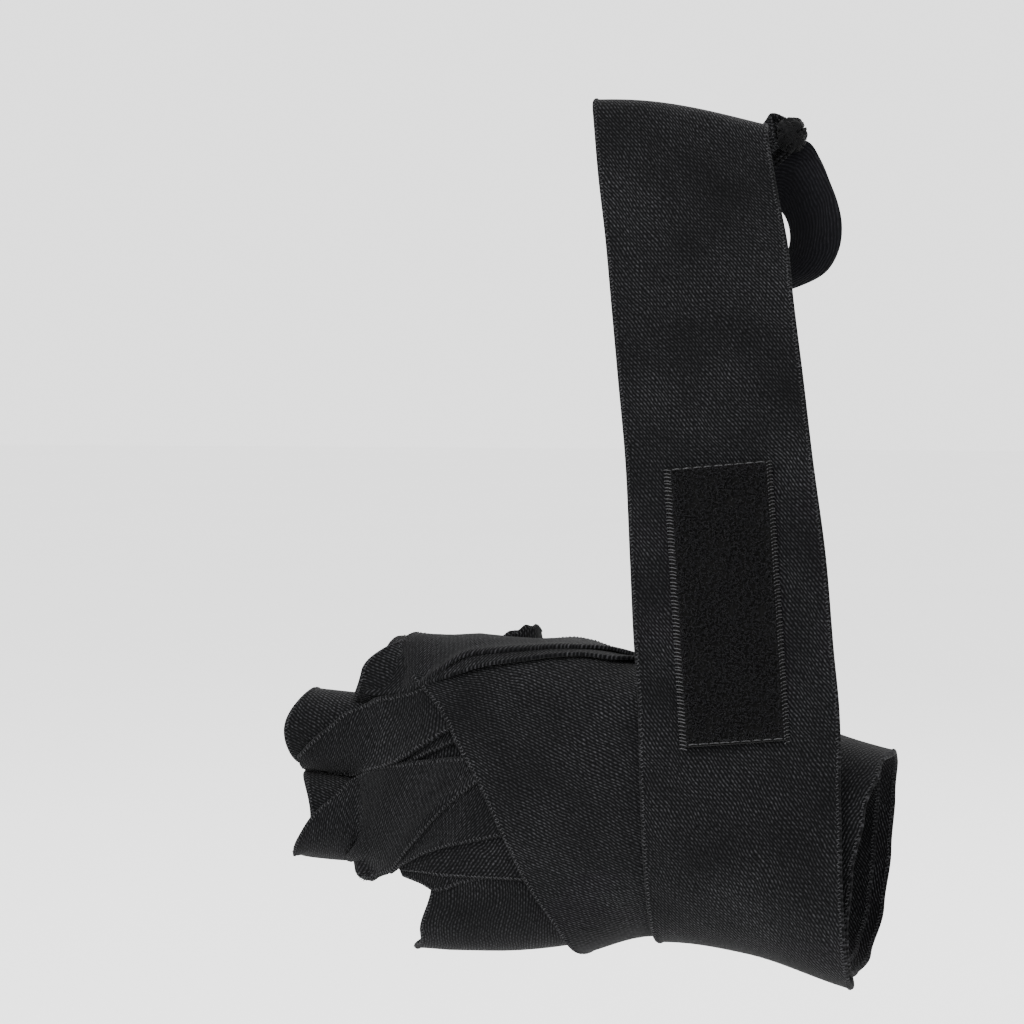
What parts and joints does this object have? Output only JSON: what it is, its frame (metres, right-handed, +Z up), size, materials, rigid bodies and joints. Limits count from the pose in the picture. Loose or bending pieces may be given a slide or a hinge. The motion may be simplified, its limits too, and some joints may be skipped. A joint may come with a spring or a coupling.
{
  "type": "hand wrap",
  "caption": "Dark elastic cloth hand wrap wound round the wrist, palm and fingers, with its free end drawn up: a loop fastener patch, a fold at the top, a gathered tail and a thumb loop.",
  "frame": {"origin": "inside the wrist turns, on the line of the forearm, below the place where the free end leaves the wrist", "axes": "+X along the hand towards the forearm, +Y from the back of the hand towards the palm, +Z up along the free end"},
  "size_m": [0.157, 0.0571, 0.2266],
  "materials": {
    "cloth": "matt elastic twill, nearly black, with a faint lighter rib",
    "loop_pile": "matt curly loop pile, darker than the strip",
    "hook_tape": "short stiff hooks on a woven ground",
    "thread": "grey sewing thread",
    "bartack_thread": "dense black thread",
    "ribbed_tape": "narrow ribbed tape, nearly black"
  },
  "bodies": {
    "wrapped_hand": {"first_wrist_turn": "cloth", "cuff_turn": "cloth", "last_wrist_turn": "cloth", "palm_turn": "cloth", "second_palm_turn": "cloth", "diagonal_back_turn": "cloth", "index_top_band": "cloth", "index_lower_band": "cloth", "index_finger_sleeve": "cloth", "middle_finger_sleeve": "cloth", "ring_finger_sleeve": "cloth", "little_finger_sleeve": "cloth", "middle_cross_band": "cloth", "ring_cross_band": "cloth", "little_fan_band": "cloth", "little_side_turn": "cloth", "palm_cross_turn": "cloth", "palm_counter_turn": "cloth", "thumb_pass": "cloth"},
    "patch_run": {"lower_run": "cloth", "loop_patch": "loop_pile", "patch_side_stitches": "thread", "patch_end_stitches": "thread"},
    "upper_part": {"upper_run": "cloth", "top_fold": "cloth"},
    "tail": {"gathered_tail": "cloth", "hook_patch": "hook_tape", "hook_stitches": "thread", "bartack": "bartack_thread"},
    "loop": {"thumb_loop": "ribbed_tape"}
  },
  "joints": [
    {"name": "run_swing", "type": "hinge", "parent": "wrapped_hand", "child": "patch_run", "pos_m": [0, -0.0248, 0.027], "axis": [1, 0, 0], "range_deg": [0, 150]},
    {"name": "upper_fold", "type": "hinge", "parent": "patch_run", "child": "upper_part", "pos_m": [-0.00767, -0.00621, 0.10443], "axis": [1, 0, 0], "range_deg": [-60, 100]},
    {"name": "tail_swing", "type": "hinge", "parent": "upper_part", "child": "tail", "pos_m": [-0.01928, 0.02689, 0.1922], "axis": [0.9879, -0.0362, -0.1509], "range_deg": [0, 90]},
    {"name": "loop_swing", "type": "hinge", "parent": "tail", "child": "loop", "pos_m": [0.00823, 0.02988, 0.18109], "axis": [1, 0, 0], "range_deg": [0, 55]}
  ]
}
